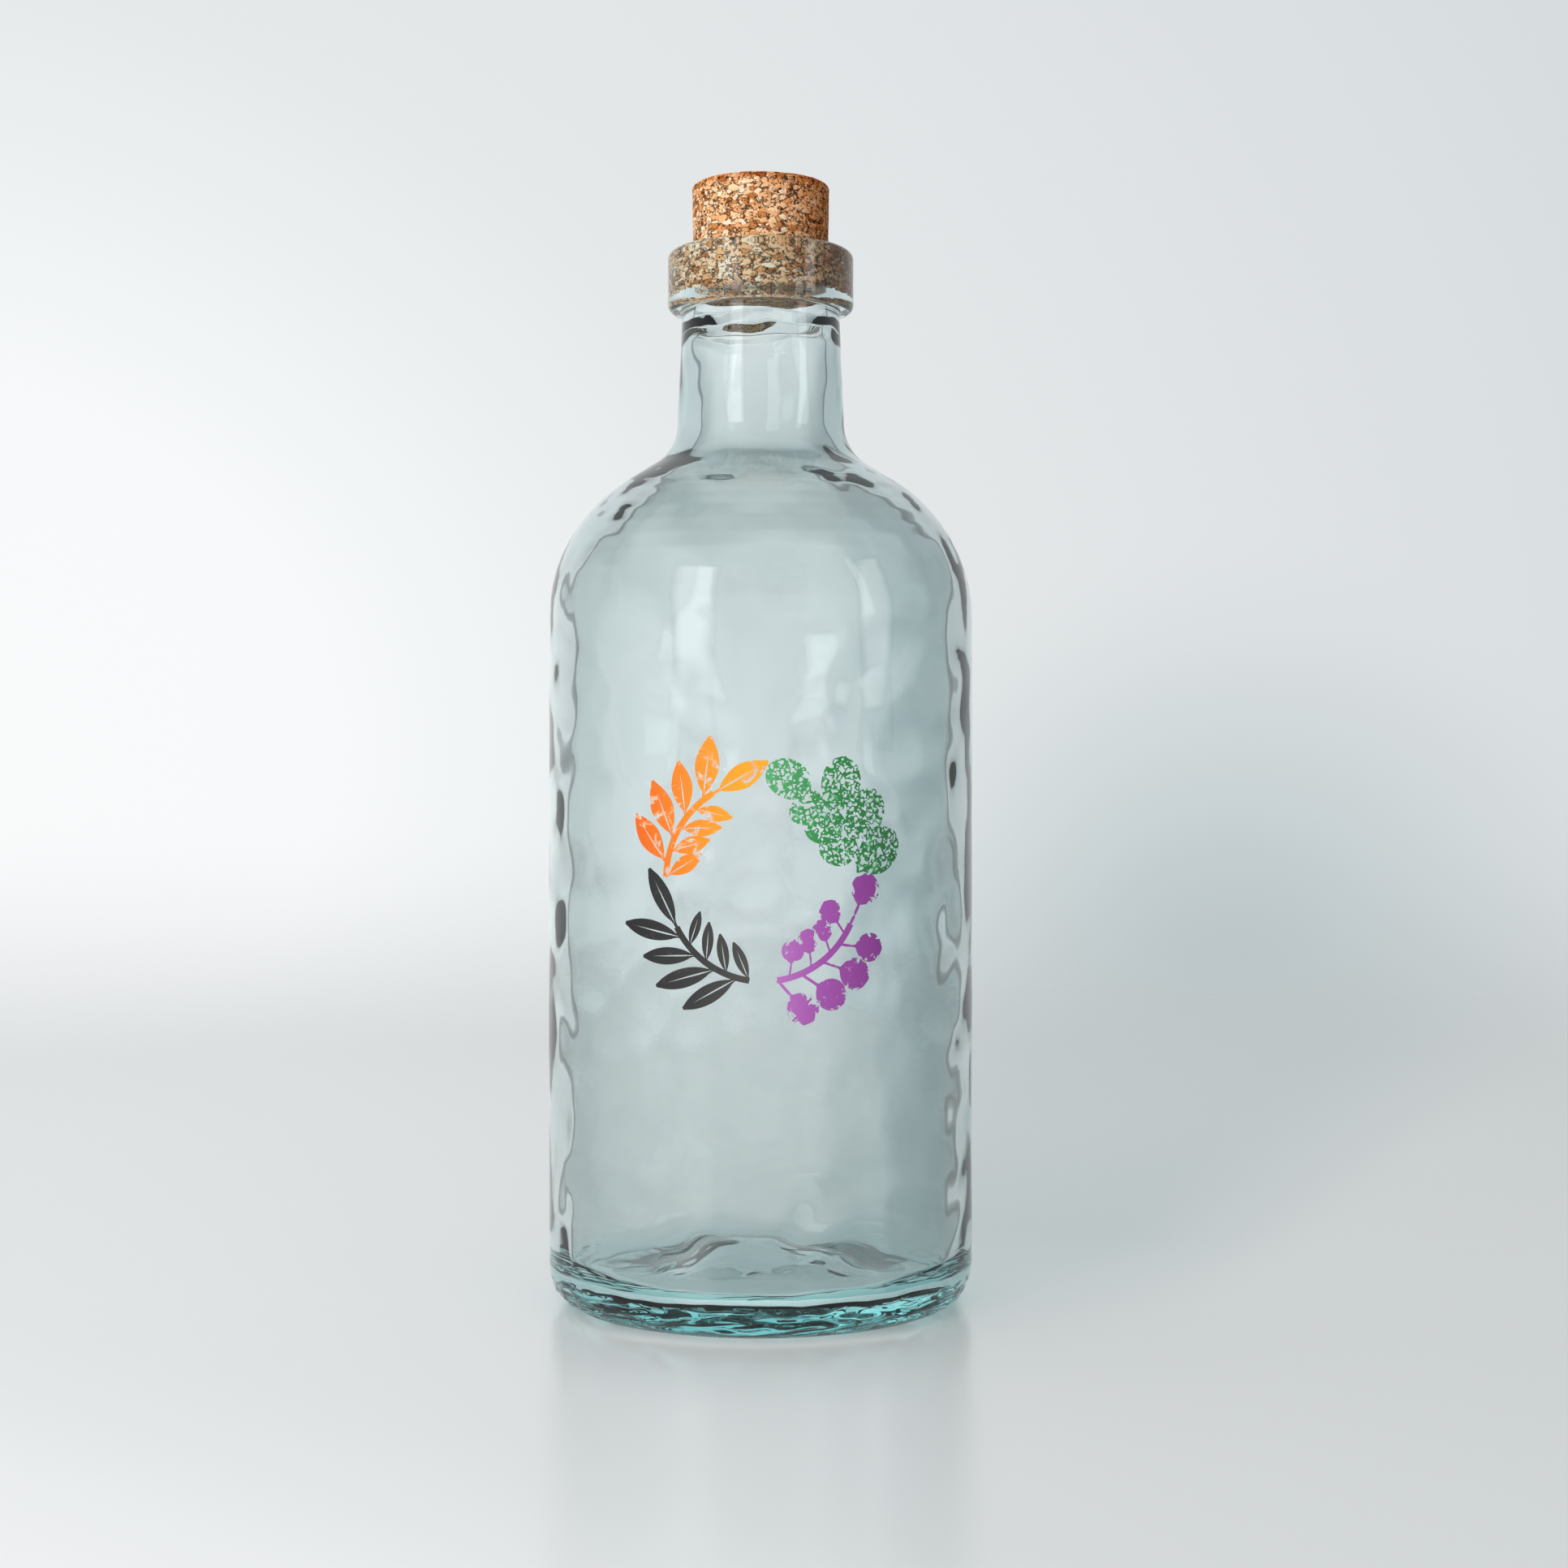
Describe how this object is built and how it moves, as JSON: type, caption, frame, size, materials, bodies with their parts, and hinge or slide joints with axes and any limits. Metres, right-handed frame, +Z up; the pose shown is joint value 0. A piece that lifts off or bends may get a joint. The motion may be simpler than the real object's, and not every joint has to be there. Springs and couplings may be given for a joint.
{
  "type": "bottle",
  "caption": "Round clear-glass bottle with broad shoulders, a short neck and a thick rolled collar, closed by a tapered cork that lifts out.",
  "frame": {"origin": "centre of the flat ring that the bottle stands on", "axes": "+Z up along the bottle's axis of rotation, towards the cork; the decorated front faces -Y"},
  "size_m": [0.078, 0.078, 0.2049],
  "materials": {
    "glass": "fire-polished moulded clear glass with a faint blue-green cast",
    "cork": "pressed cork granules, cut and sanded, matte"
  },
  "bodies": {
    "bottle": {"glass_bottle": "glass"},
    "stopper": {"cork_stopper": "cork"}
  },
  "joints": [
    {"name": "stopper_pull", "type": "slide", "parent": "bottle", "child": "stopper", "axis": [0, 0, 1], "range_m": [0, 0.06]}
  ]
}
